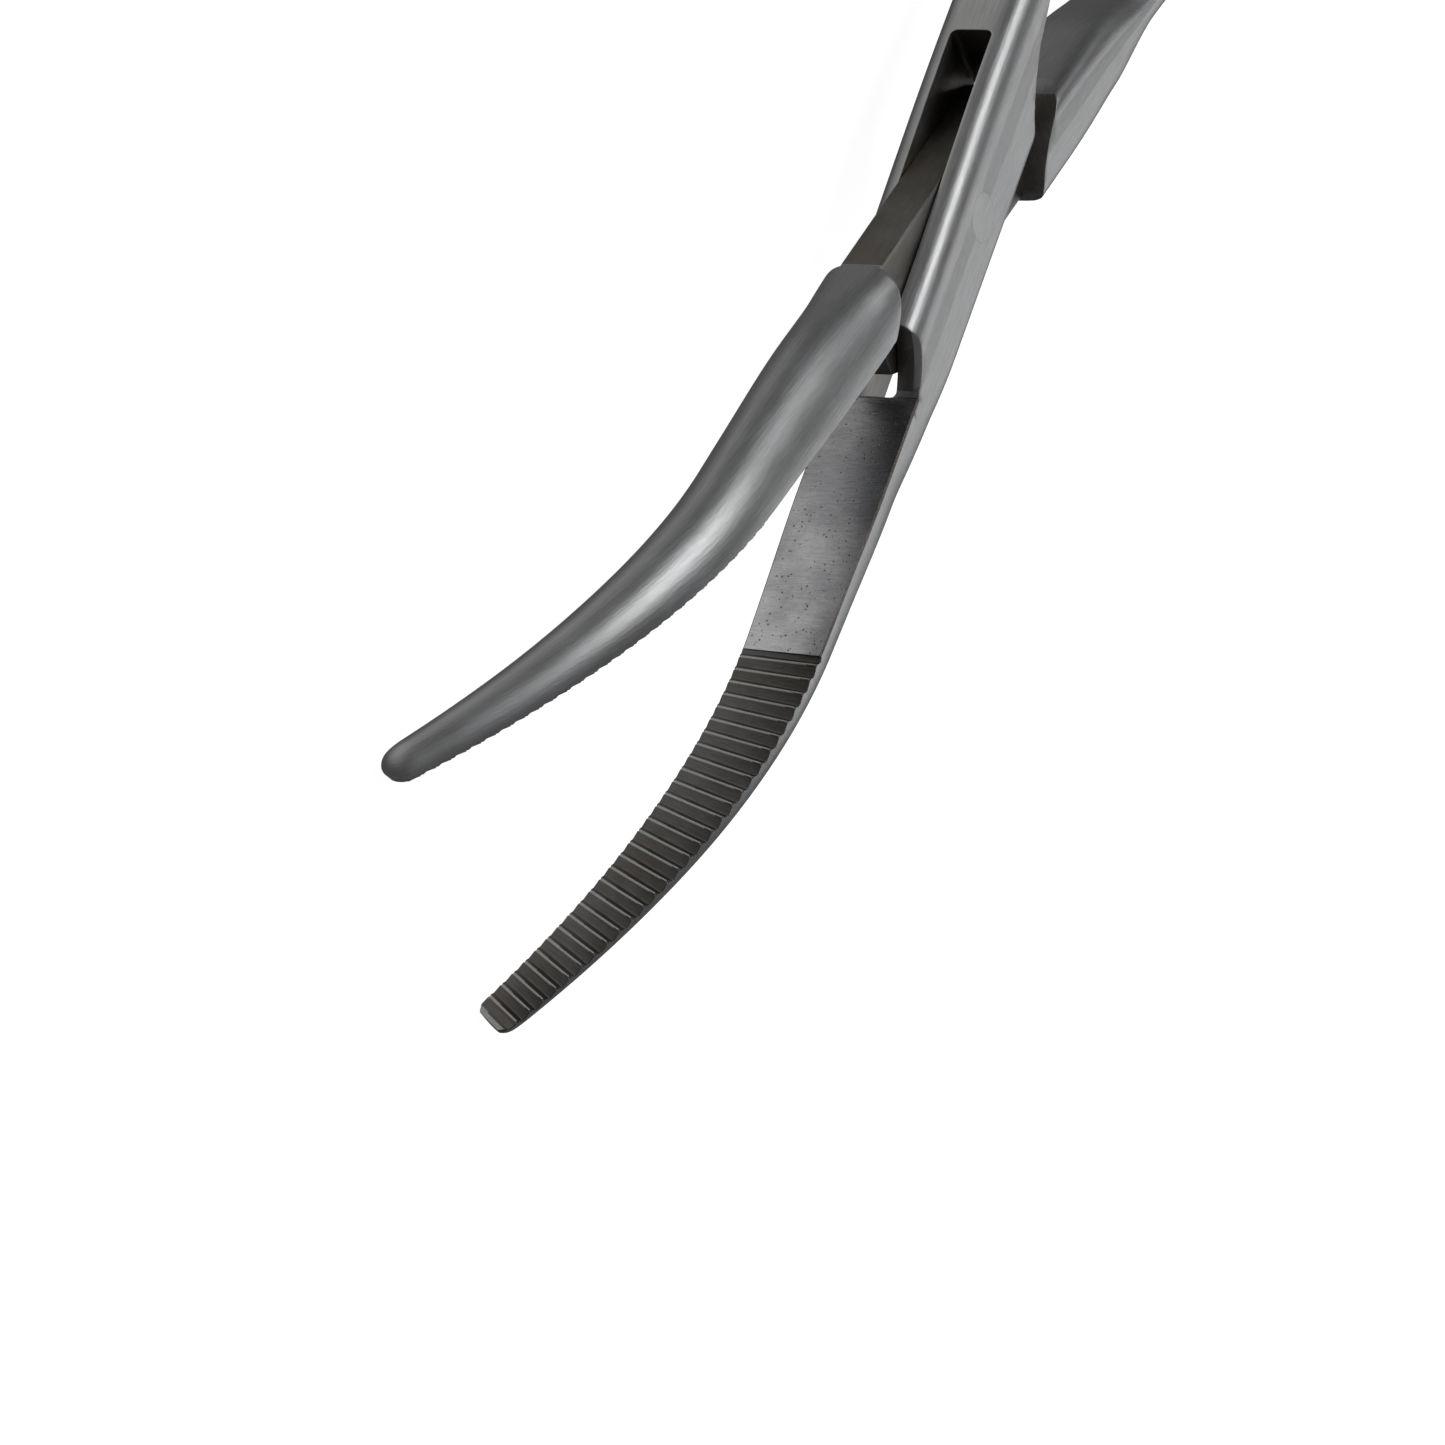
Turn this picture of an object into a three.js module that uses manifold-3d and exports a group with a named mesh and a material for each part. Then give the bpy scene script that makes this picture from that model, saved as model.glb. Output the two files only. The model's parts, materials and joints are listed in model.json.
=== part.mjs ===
// Curved box-lock haemostatic forceps: two crossing halves that turn on one pivot pin.
//
// Each half is drawn in its own plane. +X runs from the pivot to the jaw tip, +Y to the back of
// that half's jaw and +Z along the pivot, and both jaws curve down, towards -Z. The shank and the
// finger ring lie on the -Y side. The male half is then mirrored, so that the two jaws meet face
// to face. The closed jaws would meet in the plane Y = 0.

import * as THREE from 'three';
import { mergeVertices } from 'three/addons/utils/BufferGeometryUtils.js';
import Module from 'manifold-3d';

const wasm = await Module();
wasm.setup();

// Driving dimensions, in millimetres unless the name says degrees. A roundness is the exponent of
// the superellipse that a section follows: 2 is an ellipse, and larger is squarer.
const OPENING_DEGREES = 19.1; // angle between the jaws as the instrument lies
const RUNNING_GAP = 0.05; // between the waist and each wall of the slot
const SHOULDER_GAP = 0.3; // between a shoulder and its seat when closed
const FACE_GAP = 0.04; // from the closing plane to each jaw face

const BOX_HALF_THICKNESS = 2.3;
const BOX_BACK = 2.85; // height of the box behind the jaw face, on the +Y side
const RIM_AT_JAW = 2.8; // height of the box on the -Y side, at the jaw end
const RIM_AT_SHANK = 3.4; // and at the shank end
const RIM_ROUNDNESS = 4;
const BOX_FLATNESS = 0.03; // how much of a section's half width is given up to a flat broad face
const BOX_FLAT_RUN_OUT = 4; // length over which the flat face runs out into the jaw
const SLOT_HALF_WIDTH = 1.12;
const SLOT_BACK = -9.1; // slot end towards the rings
const SLOT_FRONT = 11.15; // slot end towards the tips, where the jaw face begins
const SLOT_CORNER = 0.3;

// Plan lines where the other half sits against the box, as Bezier points from outside inwards.
const JAW_SEAT = [[8.75, RIM_AT_JAW], [9.1, 1.3], [SLOT_FRONT - 1.2, 0.75], [SLOT_FRONT, 0]];
const SHANK_SEAT = [[-6.6, BOX_BACK], [-7.1, 1.3], [-9.3, 0.2], [-10.7, -0.45]];
const SHANK_ROOM = [[-13.2, -1.05], [-17, -1.1], [-27, -2]]; // behind it, along the shank
const MALE_SHANK_CORNER = [-11.9, 0.8]; // front inner corner of the male shank

// Plan of the male half's waist between its two round ends: along the rim, and along the back.
const WAIST_FRONT_RADIUS = 10.55;
const WAIST_BACK_RADIUS = 8.65;
const WAIST_RIM = [[9.55, -BOX_BACK], [-6.6, -3], [-12.5, -3.1], [-12.5, -1.3], [SLOT_BACK, -0.9]];
const WAIST_BACK = [[-7.45, 3], [8.75, 2.75], [12.15, 2.45], [12.15, FACE_GAP]];
const WAIST_FRONT_TURN = [0, -0.244]; // radians that its front end covers
const WAIST_BACK_TURN = [3.171, 2.836]; // and its back end

const PIN_RADIUS = 1.25;
const PIN_SEAT_GAP = 0.02; // pin in the walls of the box
const PIN_RUNNING_GAP = 0.05; // pin in the waist of the male half

const JAW_LENGTH = 38.2; // along the centre line, from the slot end to the female tip
const MALE_JAW_LENGTH = 37.65;
const JAW_STRAIGHT = 14; // smooth straight part before the jaw begins to curve
const JAW_DROP = 7.9; // how far the tip's centre hangs below the box's
const JAW_TIP_DEGREES = 34; // slope of the centre line at the tip
const BEND_REACH = 0.928; // how far the bend reaches along X, as a share of its length
const MALE_JAW_ROOT = -6; // where the male jaw's body begins, before its seat is cut
const FLAT_FACE_START = 0.2; // where the flat face of the female jaw begins
const TIP_SIDE_ROUND = 0.75; // length over which the sides of the tip are rounded off
const TIP_BACK_ROUND = 1.5; // and its back
const TIP_ROUNDNESS = 2.4;
const TIP_FLAT = 0.12; // what is left flat at the very end
const SERRATION_START = 15.2; // along the centre line from the slot end
const SERRATION_PITCH = 0.776;
const SERRATION_COUNT = 29;
const SERRATION_WIDTH = 0.5;
const SERRATION_DEPTH = 0.25;

// Sections of box and jaw: [distance from the slot end, half width, height, roundness].
const BOX_SECTIONS = [
  [-37.2, 1.75, BOX_BACK, 5],
  [-27, 2.22, BOX_BACK, 5],
  [-22.5, BOX_HALF_THICKNESS, BOX_BACK, 5],
  [-4, BOX_HALF_THICKNESS, BOX_BACK, 5],
  [0, 2.34, 2.98, 3.3],
];
const MALE_ROOT_SECTIONS = [
  [-8, 2.3, 2.86, 3.2],
  [-2.5, 2.32, 2.92, 2.9],
  [1, 2.36, 3.1, 2.15],
];
const JAW_SECTIONS = [
  [5, 2.34, 3.36, 1.9],
  [12, 2.17, 3, 1.85],
  [18, 2.03, 2.52, 1.85],
  [24, 1.82, 2.08, 1.85],
  [30, 1.53, 1.62, 1.85],
  [JAW_LENGTH, 1.12, 1.08, 1.85],
];
// Height of the box's rim: [distance from the slot end, height].
const RIM_SECTIONS = [
  [-37.2, 3],
  [-28, 3.36],
  [-20.2, RIM_AT_SHANK],
  [-2, RIM_AT_JAW],
];

// Centre lines of the shanks in plan, from inside the box to the bar of the ring.
const FEMALE_SHANK_START = [[-4.5, -1.9], [-11.5, -2.25], [-16, -2.25], [-23, -2.2]];
const MALE_SHANK_START = [[-4.5, -1.4], [-11.5, -1.4], [-16, -1.4], [-23, -1.75]];
const SHANK_REST = [[-33, -2.5], [-46, -4.4], [-58, -7.3], [-69.3, -10.3]];
// Shank sections: [fraction of the centre line, half width in plan, half thickness, roundness].
const FEMALE_SHANK_SECTIONS = [
  [0, 1, 1.8, 3],
  [0.2, 1, 1.8, 3],
];
const MALE_SHANK_SECTIONS = [
  [0, 1.95, BOX_HALF_THICKNESS, 6],
  [0.1, 2, BOX_HALF_THICKNESS, 6],
  [0.2, 2, 2.25, 4],
];
const SHANK_REST_SECTIONS = [
  [0.3, 1.35, 2.05, 2.6],
  [0.45, 1.55, 1.95, 2.4],
  [0.75, 1.8, 1.85, 2.2],
  [1, 1.9, 1.75, 2],
];

const RING_CENTRE = new THREE.Vector2(-78.3, -17.4);
const RING_HALF_LENGTH = 12.6; // centre line of the bar, along X
const RING_HALF_WIDTH = 10.9; // centre line of the bar, along Y
const RING_BAR_RADIUS = 2.1;

const CATCH_FRONT_X = -59.3; // edge of the ratchet catch nearest the box
const CATCH_BACK_X = -65.3;
const CATCH_FRONT_ROOT_Y = -7.2; // its root, inside the shank
const CATCH_BACK_ROOT_Y = -8.8;
const CATCH_REACH = 1.9; // past the middle of the closed instrument
const CATCH_CORNER = 1;
const CATCH_THICKNESS = 1.75;
const CATCH_FACE_GAP = 0.12; // from the tooth crests to the instrument's mid plane
const CATCH_TOOTH_COUNT = 4;
const CATCH_TOOTH_START = 0.35; // from the end of the catch
const CATCH_TOOTH_PITCH = 1.15;
const CATCH_TOOTH_DEPTH = 0.55;
const CATCH_CREST_WIDTH = 0.2;

const BOX_STEPS = 20;
const JAW_STEPS = 30;
const ARCH_STEPS = 14;
const RIM_CORNERS = 9;
const SHANK_STEPS = 26;
const SHANK_SIDES = 16;
const RING_STEPS = 44;
const RING_SIDES = 12;
const CURVE_STEPS = 6;
const PIN_SIDES = 32;
const WIDE = 10; // half the size of a cutter that goes right through

const steel = (color, roughness) => new THREE.MeshStandardMaterial({ color, roughness, metalness: 1 });

// A closed three.js geometry as a solid for cutting and joining.
function solidOf(geometry) {
  const bare = geometry.clone();
  bare.deleteAttribute('normal');
  bare.deleteAttribute('uv');
  const merged = mergeVertices(bare, 1e-4);
  const mesh = new wasm.Mesh({
    numProp: 3,
    vertProperties: new Float32Array(merged.attributes.position.array),
    triVerts: new Uint32Array(merged.index.array),
  });
  return new wasm.Manifold(mesh);
}

function geometryOf(solid) {
  const mesh = solid.getMesh();
  const geometry = new THREE.BufferGeometry();
  geometry.setAttribute('position', new THREE.BufferAttribute(new Float32Array(mesh.vertProperties), 3));
  geometry.setIndex(new THREE.BufferAttribute(new Uint32Array(mesh.triVerts), 1));
  return geometry;
}

const join = (solids) => solids.reduce((whole, piece) => whole.add(piece));
const cut = (solid, cutters) => cutters.reduce((whole, cutter) => whole.subtract(cutter), solid);

// Values from one to another in even steps.
const evenly = (from, to, steps) =>
  Array.from({ length: steps + 1 }, (_, index) => THREE.MathUtils.lerp(from, to, index / steps));

// Straight-line interpolation in rows of [position, value, value, ...], by column.
function tableValue(rows, position, column) {
  const last = rows.length - 1;
  const upper = rows.findIndex((row) => row[0] >= position);
  if (upper === 0) return rows[0][column];
  if (upper === -1) return rows[last][column];
  const [low, high] = [rows[upper - 1], rows[upper]];
  return THREE.MathUtils.mapLinear(position, low[0], high[0], low[column], high[column]);
}

// A body swept through sections: a capped cylinder whose rings are moved onto the sections.
// frameAt(station) gives the origin and the across and out directions of the section there.
// outlineAt(station, k) gives corner k of that section as [across, out], and middleAt its middle.
function sweptBody(sides, stations, frameAt, outlineAt, middleAt) {
  const steps = stations.length - 1;
  const geometry = new THREE.CylinderGeometry(1, 1, 1, sides, steps);
  const position = geometry.attributes.position;
  for (let i = 0; i < position.count; i += 1) {
    const station = stations[Math.round((position.getY(i) + 0.5) * steps)];
    const onAxis = Math.hypot(position.getX(i), position.getZ(i)) < 0.5;
    const turn = Math.atan2(position.getX(i), position.getZ(i)) / (2 * Math.PI);
    const corner = (Math.round(turn * sides) + sides) % sides;
    const [across, out] = onAxis ? middleAt(station) : outlineAt(station, corner);
    const frame = frameAt(station);
    const point = frame.origin.clone();
    point.addScaledVector(frame.across, across);
    point.addScaledVector(frame.out, out);
    position.setXYZ(i, point.x, point.y, point.z);
  }
  return geometry;
}

const superellipse = (angle, roundness) => [
  Math.sign(Math.cos(angle)) * Math.abs(Math.cos(angle)) ** (2 / roundness),
  Math.sign(Math.sin(angle)) * Math.abs(Math.sin(angle)) ** (2 / roundness),
];

// The jaw's centre line: straight out of the box, then bending down to the tip.
const jawTipSlope = THREE.MathUtils.degToRad(JAW_TIP_DEGREES);
const bendStart = new THREE.Vector3(SLOT_FRONT + JAW_STRAIGHT, 0, 0);
const bendLength = JAW_LENGTH - JAW_STRAIGHT;
const jawTip = new THREE.Vector3(bendStart.x + BEND_REACH * bendLength, 0, -JAW_DROP);
const tipDirection = new THREE.Vector3(Math.cos(jawTipSlope), 0, -Math.sin(jawTipSlope));
const jawBend = new THREE.CubicBezierCurve3(
  bendStart,
  bendStart.clone().add(new THREE.Vector3(bendLength / 3, 0, 0)),
  jawTip.clone().addScaledVector(tipDirection, -bendLength / 3),
  jawTip,
);

function jawFrame(distance) {
  const out = new THREE.Vector3(0, 1, 0);
  const bendDistance = distance - JAW_STRAIGHT;
  if (bendDistance <= 0) {
    const origin = new THREE.Vector3(SLOT_FRONT + distance, 0, 0);
    return { origin, out, across: new THREE.Vector3(0, 0, -1) };
  }
  const u = Math.min(bendDistance / bendLength, 1);
  const tangent = jawBend.getTangentAt(u);
  return { origin: jawBend.getPointAt(u), out, across: new THREE.Vector3().crossVectors(out, tangent) };
}

// Distances along a jaw, closer together towards its tip.
const jawStations = (start, length) =>
  evenly(0, Math.PI / 2, JAW_STEPS).map((turn) => start + (length - start) * Math.sin(turn));

// The share of a section that is left near the tip, where it is rounded off over a length.
function tipShare(toTip, roundLength) {
  const near = THREE.MathUtils.clamp(1 - toTip / roundLength, 0, 1);
  return (1 - (1 - TIP_FLAT) * near ** TIP_ROUNDNESS) ** (1 / TIP_ROUNDNESS);
}

// The front of a half: an arched back over the flat face of the jaw, rounded off at the tip, or
// over the rim of the box at distances where hasRim says so.
function frontBody(sections, stations, hasRim) {
  const length = stations[stations.length - 1];
  const sizeAt = (distance) => [
    tableValue(sections, distance, 1) * tipShare(length - distance, TIP_SIDE_ROUND),
    tableValue(sections, distance, 2) * tipShare(length - distance, TIP_BACK_ROUND),
  ];
  const flattened = (distance, across) => {
    const run = hasRim(distance) ? THREE.MathUtils.smoothstep(-distance, 0, BOX_FLAT_RUN_OUT) : 0;
    return THREE.MathUtils.clamp(across * (1 + BOX_FLATNESS * run), -1, 1);
  };
  const backCorner = (distance, corner) => {
    const [halfWidth, height] = sizeAt(distance);
    const [across, out] = superellipse((corner / ARCH_STEPS) * Math.PI, tableValue(sections, distance, 3));
    const floor = hasRim(distance) ? 0 : FACE_GAP;
    return [halfWidth * flattened(distance, across), floor + (height - floor) * Math.max(out, 0)];
  };
  const underCorner = (distance, share) => {
    const halfWidth = sizeAt(distance)[0];
    if (!hasRim(distance)) return [halfWidth * (2 * share - 1), FACE_GAP];
    const [across, out] = superellipse((1 + share) * Math.PI, RIM_ROUNDNESS);
    return [halfWidth * flattened(distance, across), tableValue(RIM_SECTIONS, distance, 1) * out];
  };
  const outlineAt = (distance, corner) => {
    if (corner <= ARCH_STEPS) return backCorner(distance, corner);
    return underCorner(distance, (corner - ARCH_STEPS) / (RIM_CORNERS + 1));
  };
  const middleAt = (distance) => [0, sizeAt(distance)[1] / 2];
  return sweptBody(ARCH_STEPS + RIM_CORNERS + 1, stations, jawFrame, outlineAt, middleAt);
}

// Cross grooves in the jaw face, square to the centre line.
function serrationCutters() {
  return Array.from({ length: SERRATION_COUNT }, (_, index) => {
    const { origin, across, out } = jawFrame(SERRATION_START + index * SERRATION_PITCH);
    const along = new THREE.Vector3().crossVectors(across, out);
    const groove = new THREE.BoxGeometry(SERRATION_WIDTH, 2 * SERRATION_DEPTH, WIDE);
    groove.applyMatrix4(new THREE.Matrix4().makeBasis(along, out, across.clone().negate()));
    groove.translate(origin.x, FACE_GAP, origin.z);
    return solidOf(groove);
  });
}

function shankBody(plan, sections) {
  const line = new THREE.CatmullRomCurve3(plan.map(([x, y]) => new THREE.Vector3(x, y, 0)));
  const frameAt = (u) => {
    const across = new THREE.Vector3(0, 0, -1);
    const out = new THREE.Vector3().crossVectors(line.getTangentAt(u), across);
    return { origin: line.getPointAt(u), across, out };
  };
  const outlineAt = (u, corner) => {
    const angle = (corner / SHANK_SIDES) * 2 * Math.PI;
    const [across, out] = superellipse(angle, tableValue(sections, u, 3));
    return [across * tableValue(sections, u, 2), out * tableValue(sections, u, 1)];
  };
  return sweptBody(SHANK_SIDES, evenly(0, 1, SHANK_STEPS), frameAt, outlineAt, () => [0, 0]);
}

function fingerRing() {
  const ring = new THREE.TorusGeometry(RING_HALF_WIDTH, RING_BAR_RADIUS, RING_SIDES, RING_STEPS);
  const position = ring.attributes.position;
  const stretch = RING_HALF_LENGTH - RING_HALF_WIDTH;
  for (let i = 0; i < position.count; i += 1) {
    const turn = Math.atan2(position.getY(i), position.getX(i));
    position.setX(i, position.getX(i) + stretch * Math.cos(turn));
  }
  return ring.translate(RING_CENTRE.x, RING_CENTRE.y, 0);
}

// A plate with the given plan outline, from z = low to z = high.
function plate(shape, low, high) {
  const geometry = new THREE.ExtrudeGeometry(shape, {
    depth: high - low,
    bevelEnabled: false,
    curveSegments: CURVE_STEPS,
  });
  return geometry.translate(0, 0, low);
}

// The saw tooth valleys of a catch. facing is +1 for teeth on the top face, -1 for the underside.
function toothCutters(facing, faceHeight) {
  return Array.from({ length: CATCH_TOOTH_COUNT }, (_, index) => {
    const crest = CATCH_REACH - CATCH_TOOTH_START - index * CATCH_TOOTH_PITCH;
    const floor = crest - CATCH_TOOTH_PITCH + CATCH_CREST_WIDTH;
    const valley = new THREE.Shape();
    valley.moveTo(crest, faceHeight + facing);
    valley.lineTo(crest, faceHeight);
    valley.lineTo(floor, faceHeight - facing * CATCH_TOOTH_DEPTH);
    valley.lineTo(floor, faceHeight + facing);
    const cutter = plate(valley, CATCH_BACK_X - WIDE, CATCH_FRONT_X + WIDE);
    return solidOf(cutter.rotateX(Math.PI / 2).rotateZ(Math.PI / 2));
  });
}

// The ratchet catch: a plate from the shank past the middle, with a row of saw teeth on the face
// that meets the other half's catch.
function ratchetCatch(facing) {
  const outline = new THREE.Shape();
  outline.moveTo(CATCH_FRONT_X, CATCH_FRONT_ROOT_Y);
  outline.lineTo(CATCH_BACK_X, CATCH_BACK_ROOT_Y);
  outline.lineTo(CATCH_BACK_X, CATCH_REACH - CATCH_CORNER);
  outline.quadraticCurveTo(CATCH_BACK_X, CATCH_REACH, CATCH_BACK_X + CATCH_CORNER, CATCH_REACH);
  outline.lineTo(CATCH_FRONT_X - CATCH_CORNER, CATCH_REACH);
  outline.quadraticCurveTo(CATCH_FRONT_X, CATCH_REACH, CATCH_FRONT_X, CATCH_REACH - CATCH_CORNER);
  const faceHeight = -facing * CATCH_FACE_GAP;
  const farHeight = faceHeight - facing * CATCH_THICKNESS;
  const body = plate(outline, Math.min(faceHeight, farHeight), Math.max(faceHeight, farHeight));
  return cut(solidOf(body), toothCutters(facing, faceHeight));
}

// Adds a seat line to a plan outline. side is +1 or -1 for its side of the plane Y = 0, and shift
// moves it along X.
function addSeat(outline, points, side, shift) {
  const [start, first, second, end] = points.map(([x, y]) => [x + shift, side * y]);
  outline.lineTo(...start);
  outline.bezierCurveTo(...first, ...second, ...end);
}

// The room in front of the female half's box for the jaw of the male half.
function maleJawRoom() {
  const outline = new THREE.Shape();
  outline.moveTo(JAW_SEAT[0][0], -WIDE);
  addSeat(outline, JAW_SEAT, -1, 0);
  outline.lineTo(SLOT_FRONT, FACE_GAP / 2);
  outline.lineTo(SLOT_FRONT + 1, FACE_GAP / 2);
  outline.lineTo(SLOT_FRONT + 1, -WIDE);
  return plate(outline, -WIDE, WIDE);
}

// The room behind the female half's box for the shank of the male half.
function maleShankRoom() {
  const outline = new THREE.Shape();
  outline.moveTo(SHANK_SEAT[0][0], WIDE);
  addSeat(outline, SHANK_SEAT, 1, 0);
  SHANK_ROOM.forEach((corner) => outline.lineTo(...corner));
  outline.lineTo(SHANK_ROOM[2][0], WIDE);
  return plate(outline, -WIDE, WIDE);
}

// The room that the female half's box needs in the male half, at full thickness.
function femaleBoxRoom() {
  const outline = new THREE.Shape();
  outline.moveTo(JAW_SEAT[0][0] + SHOULDER_GAP, WIDE);
  addSeat(outline, JAW_SEAT, 1, SHOULDER_GAP);
  outline.lineTo(SLOT_FRONT + SHOULDER_GAP, -WIDE);
  outline.lineTo(SHANK_SEAT[0][0] - SHOULDER_GAP, -WIDE);
  addSeat(outline, SHANK_SEAT, -1, -SHOULDER_GAP);
  outline.lineTo(...MALE_SHANK_CORNER);
  outline.lineTo(MALE_SHANK_CORNER[0], WIDE);
  return plate(outline, -WIDE, WIDE);
}

// The slot through the box, with rounded corners at both ends.
function slotCutter() {
  const outline = new THREE.Shape();
  const [low, high] = [-SLOT_HALF_WIDTH, SLOT_HALF_WIDTH];
  outline.moveTo(SLOT_BACK + SLOT_CORNER, low);
  outline.lineTo(SLOT_FRONT - SLOT_CORNER, low);
  outline.quadraticCurveTo(SLOT_FRONT, low, SLOT_FRONT, low + SLOT_CORNER);
  outline.lineTo(SLOT_FRONT, high - SLOT_CORNER);
  outline.quadraticCurveTo(SLOT_FRONT, high, SLOT_FRONT - SLOT_CORNER, high);
  outline.lineTo(SLOT_BACK + SLOT_CORNER, high);
  outline.quadraticCurveTo(SLOT_BACK, high, SLOT_BACK, high - SLOT_CORNER);
  outline.lineTo(SLOT_BACK, low + SLOT_CORNER);
  outline.quadraticCurveTo(SLOT_BACK, low, SLOT_BACK + SLOT_CORNER, low);
  return plate(outline, -WIDE, WIDE).rotateX(Math.PI / 2);
}

// The thin waist of the male half that passes through the slot, round at both ends of the slot.
function waistPlate() {
  const outline = new THREE.Shape();
  outline.moveTo(...WAIST_BACK[WAIST_BACK.length - 1]);
  outline.absarc(0, 0, WAIST_FRONT_RADIUS, ...WAIST_FRONT_TURN, true);
  WAIST_RIM.forEach((corner) => outline.lineTo(...corner));
  outline.absarc(0, 0, WAIST_BACK_RADIUS, ...WAIST_BACK_TURN, true);
  WAIST_BACK.slice(0, -1).forEach((corner) => outline.lineTo(...corner));
  const halfThickness = SLOT_HALF_WIDTH - RUNNING_GAP;
  return plate(outline, -halfThickness, halfThickness);
}

function cylinderAlongPivot(radius, length) {
  return new THREE.CylinderGeometry(radius, radius, length, PIN_SIDES).rotateX(Math.PI / 2);
}

function femaleHalf() {
  const stations = [
    ...evenly(BOX_SECTIONS[0][0], 0, BOX_STEPS),
    ...jawStations(FLAT_FACE_START, JAW_LENGTH),
  ];
  const front = frontBody([...BOX_SECTIONS, ...JAW_SECTIONS], stations, (distance) => distance <= 0);
  const body = cut(solidOf(front), [maleJawRoom(), maleShankRoom()].map(solidOf));
  const shank = shankBody(
    [...FEMALE_SHANK_START, ...SHANK_REST],
    [...FEMALE_SHANK_SECTIONS, ...SHANK_REST_SECTIONS],
  );
  const blank = join([body, solidOf(shank), solidOf(fingerRing()), ratchetCatch(1)]);
  const bore = cylinderAlongPivot(PIN_RADIUS + PIN_SEAT_GAP, 2 * WIDE);
  return geometryOf(cut(blank, [solidOf(slotCutter()), solidOf(bore), ...serrationCutters()]));
}

function maleHalf() {
  const stations = jawStations(MALE_JAW_ROOT, MALE_JAW_LENGTH);
  const jaw = frontBody([...MALE_ROOT_SECTIONS, ...JAW_SECTIONS], stations, () => false);
  const shank = shankBody(
    [...MALE_SHANK_START, ...SHANK_REST],
    [...MALE_SHANK_SECTIONS, ...SHANK_REST_SECTIONS],
  );
  const ends = cut(join([jaw, shank].map(solidOf)), [solidOf(femaleBoxRoom())]);
  const blank = join([ends, solidOf(waistPlate()), solidOf(fingerRing()), ratchetCatch(-1)]);
  const bore = cylinderAlongPivot(PIN_RADIUS + PIN_RUNNING_GAP, 2 * WIDE);
  return geometryOf(cut(blank, [solidOf(bore), ...serrationCutters()]).mirror([0, 1, 0]));
}

function namedMesh(name, geometry, material) {
  const mesh = new THREE.Mesh(geometry, material);
  mesh.name = name;
  return mesh;
}

const pin = cylinderAlongPivot(PIN_RADIUS, 2 * BOX_HALF_THICKNESS);
const halfOpening = THREE.MathUtils.degToRad(OPENING_DEGREES / 2);
const female = new THREE.Group();
female.rotation.z = halfOpening;
female.add(namedMesh('female_half', femaleHalf(), steel(0x8f9694, 0.34)));
female.add(namedMesh('pivot_pin', pin, steel(0x9aa1a0, 0.3)));
const male = new THREE.Group();
male.rotation.z = -halfOpening;
male.add(namedMesh('male_half', maleHalf(), steel(0x8a908d, 0.34)));

// The instrument lies on the tip of its longer jaw and the far ends of both rings.
const tipLow = JAW_DROP + Math.cos(jawTipSlope);
const restingSpan = (jawTip.x - RING_CENTRE.x + RING_HALF_LENGTH) * Math.cos(halfOpening);
const forceps = new THREE.Group();
forceps.add(female, male);
forceps.rotation.y = -Math.atan2(tipLow - RING_BAR_RADIUS, restingSpan);

// The origin is under the middle of the instrument, at the level it lies on.
const instrument = new THREE.Group();
instrument.add(forceps);
instrument.updateMatrixWorld(true);
const bounds = new THREE.Box3().setFromObject(instrument, true);
const middle = bounds.getCenter(new THREE.Vector3());
forceps.position.set(-middle.x, -middle.y, -bounds.min.z);

export default instrument;
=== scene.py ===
"""Curved box-lock haemostatic forceps: fine meshes, steel materials, light and camera.

Both halves are modelled in the plane of their own half, in millimetres: +X from the pivot to the
jaw tip, +Y to the back of that half's jaw, +Z along the pivot. The male half is mirrored in Y.
Each mesh is then scaled to metres and put on the frame's pivot axis, at its angle at rest.
"""
import json
import math

import bmesh
import bpy
import numpy as np
from mathutils import Matrix, Vector


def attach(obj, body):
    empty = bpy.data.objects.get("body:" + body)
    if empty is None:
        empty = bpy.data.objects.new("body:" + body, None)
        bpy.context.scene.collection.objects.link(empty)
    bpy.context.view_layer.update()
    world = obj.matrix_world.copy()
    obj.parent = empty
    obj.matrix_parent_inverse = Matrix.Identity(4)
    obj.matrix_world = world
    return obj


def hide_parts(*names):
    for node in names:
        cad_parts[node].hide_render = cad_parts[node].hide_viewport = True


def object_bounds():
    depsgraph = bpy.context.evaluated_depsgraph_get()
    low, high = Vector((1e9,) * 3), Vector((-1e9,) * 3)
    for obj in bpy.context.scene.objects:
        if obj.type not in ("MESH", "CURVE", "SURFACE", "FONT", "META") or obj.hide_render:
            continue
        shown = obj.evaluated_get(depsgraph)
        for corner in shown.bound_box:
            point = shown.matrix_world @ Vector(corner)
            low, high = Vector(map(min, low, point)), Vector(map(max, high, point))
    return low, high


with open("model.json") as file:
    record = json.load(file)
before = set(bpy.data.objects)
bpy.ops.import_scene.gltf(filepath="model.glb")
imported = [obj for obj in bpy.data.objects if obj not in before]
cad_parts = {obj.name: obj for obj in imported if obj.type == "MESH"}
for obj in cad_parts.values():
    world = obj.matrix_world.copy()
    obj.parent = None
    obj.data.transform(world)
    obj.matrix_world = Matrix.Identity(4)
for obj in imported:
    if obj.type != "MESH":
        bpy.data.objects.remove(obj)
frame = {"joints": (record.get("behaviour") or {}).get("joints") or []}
cad_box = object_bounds()
pivot = frame["joints"][0]

MM = 0.001

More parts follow.
